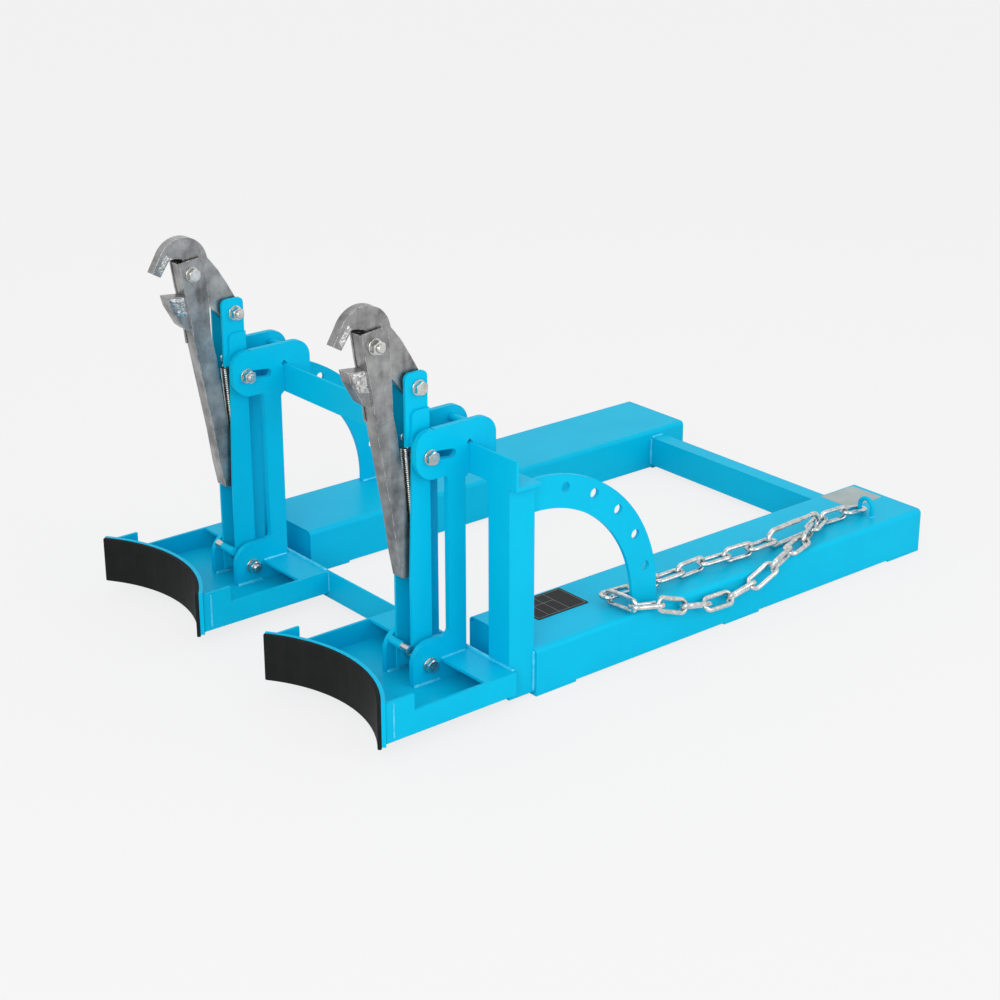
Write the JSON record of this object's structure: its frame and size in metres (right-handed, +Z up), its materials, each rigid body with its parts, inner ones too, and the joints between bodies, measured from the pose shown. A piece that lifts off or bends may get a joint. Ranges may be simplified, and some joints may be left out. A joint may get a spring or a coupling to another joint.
{
  "type": "forklift drum lifter",
  "caption": "Fork-mounted drum lifter: blue welded frame on fork sleeves, curved rubber saddles, and sprung beak grippers on tilting posts that clamp drums by the rim.",
  "frame": {"origin": "on the floor under the middle of the object's box, on its plane of symmetry", "axes": "+Y towards the truck along the fork sleeves, -Y towards the drums, +Z up, +X to the left hand of the driver"},
  "size_m": [0.9918, 1.4768, 0.776],
  "materials": {
    "frame_paint": "glossy bright blue paint",
    "bright_zinc": "bright zinc plating",
    "dark_zinc": "dull dark zinc plating",
    "pad_rubber": "matte black rubber",
    "data_plate": "blank black plate",
    "blank_label": "blank pale label"
  },
  "bodies": {
    "frame": {"fork_sleeve_left": "frame_paint", "fork_sleeve_right": "frame_paint", "sleeve_straps": "frame_paint", "sleeve_end_plates": "frame_paint", "rear_cross_tube": "frame_paint", "front_cross_angle": "frame_paint", "top_cross_angle": "frame_paint", "mast_left": "frame_paint", "mast_right": "frame_paint", "arc_plate_left": "frame_paint", "arc_plate_right": "frame_paint", "front_beam_left": "frame_paint", "front_beam_right": "frame_paint", "beam_covers": "frame_paint", "saddle_plate_left": "frame_paint", "saddle_plate_right": "frame_paint", "carriage_plates_left": "frame_paint", "carriage_plates_right": "frame_paint", "keeper_bars": "frame_paint", "chain_eye": "frame_paint", "saddle_pad_left": "pad_rubber", "saddle_pad_right": "pad_rubber", "foot_bolts": "bright_zinc", "foot_nuts": "bright_zinc", "foot_spacers": "bright_zinc", "chain_links": "bright_zinc", "snap_hook": "bright_zinc", "data_plate": "data_plate", "blank_label": "blank_label"},
    "post_left": {"post_left": "frame_paint", "foot_pin_left": "bright_zinc", "head_bracket_left": "frame_paint", "tilt_bolt_left": "bright_zinc", "tilt_nut_left": "bright_zinc", "beak_bolt_left": "bright_zinc", "beak_nut_left": "bright_zinc", "return_spring_left": "bright_zinc"},
    "beak_left": {"beak_left": "dark_zinc"},
    "jaw_left": {"jaw_left": "dark_zinc", "jaw_cheeks_left": "dark_zinc", "jaw_tooth_left": "dark_zinc", "jaw_bolt_left": "bright_zinc", "jaw_nut_left": "bright_zinc"},
    "post_right": {"post_right": "frame_paint", "foot_pin_right": "bright_zinc", "head_bracket_right": "frame_paint", "tilt_bolt_right": "bright_zinc", "tilt_nut_right": "bright_zinc", "beak_bolt_right": "bright_zinc", "beak_nut_right": "bright_zinc", "return_spring_right": "bright_zinc"},
    "beak_right": {"beak_right": "dark_zinc"},
    "jaw_right": {"jaw_right": "dark_zinc", "jaw_cheeks_right": "dark_zinc", "jaw_tooth_right": "dark_zinc", "jaw_bolt_right": "bright_zinc", "jaw_nut_right": "bright_zinc"},
    "hook_gate": {"snap_hook_gate": "bright_zinc"}
  },
  "joints": [
    {"name": "post_tilt_left", "type": "hinge", "parent": "frame", "child": "post_left", "pos_m": [0.3, -0.5196, 0.07], "axis": [-1, 0, 0], "range_deg": [0, 7]},
    {"name": "beak_swing_left", "type": "hinge", "parent": "post_left", "child": "beak_left", "pos_m": [0.3, -0.5156, 0.608], "axis": [1, 0, 0], "range_deg": [-6, 20], "stiffness_Nm_per_rad": 77, "springref_deg": -3.27, "deforming": ["return_spring_left"]},
    {"name": "jaw_swing_left", "type": "hinge", "parent": "beak_left", "child": "jaw_left", "pos_m": [0.3, -0.6076, 0.702], "axis": [1, 0, 0], "range_deg": [-16.7, 5]},
    {"name": "post_tilt_right", "type": "hinge", "parent": "frame", "child": "post_right", "pos_m": [-0.3, -0.5196, 0.07], "axis": [-1, 0, 0], "range_deg": [0, 7]},
    {"name": "beak_swing_right", "type": "hinge", "parent": "post_right", "child": "beak_right", "pos_m": [-0.3, -0.5156, 0.608], "axis": [1, 0, 0], "range_deg": [-6, 20], "stiffness_Nm_per_rad": 77, "springref_deg": -3.27, "deforming": ["return_spring_right"]},
    {"name": "jaw_swing_right", "type": "hinge", "parent": "beak_right", "child": "jaw_right", "pos_m": [-0.3, -0.6076, 0.702], "axis": [1, 0, 0], "range_deg": [-16.7, 5]},
    {"name": "gate_swing", "type": "hinge", "parent": "frame", "child": "hook_gate", "pos_m": [0.4091, 0.40783, 0.13767], "axis": [-0.9938, -0.0695, -0.0872], "range_deg": [0, 15], "stiffness_Nm_per_rad": 0.05, "springref_deg": -17.19}
  ],
  "couplings": [
    {"joint": "jaw_swing_left", "follows": "beak_swing_left", "ratio": -0.83},
    {"joint": "jaw_swing_right", "follows": "beak_swing_right", "ratio": -0.83}
  ]
}
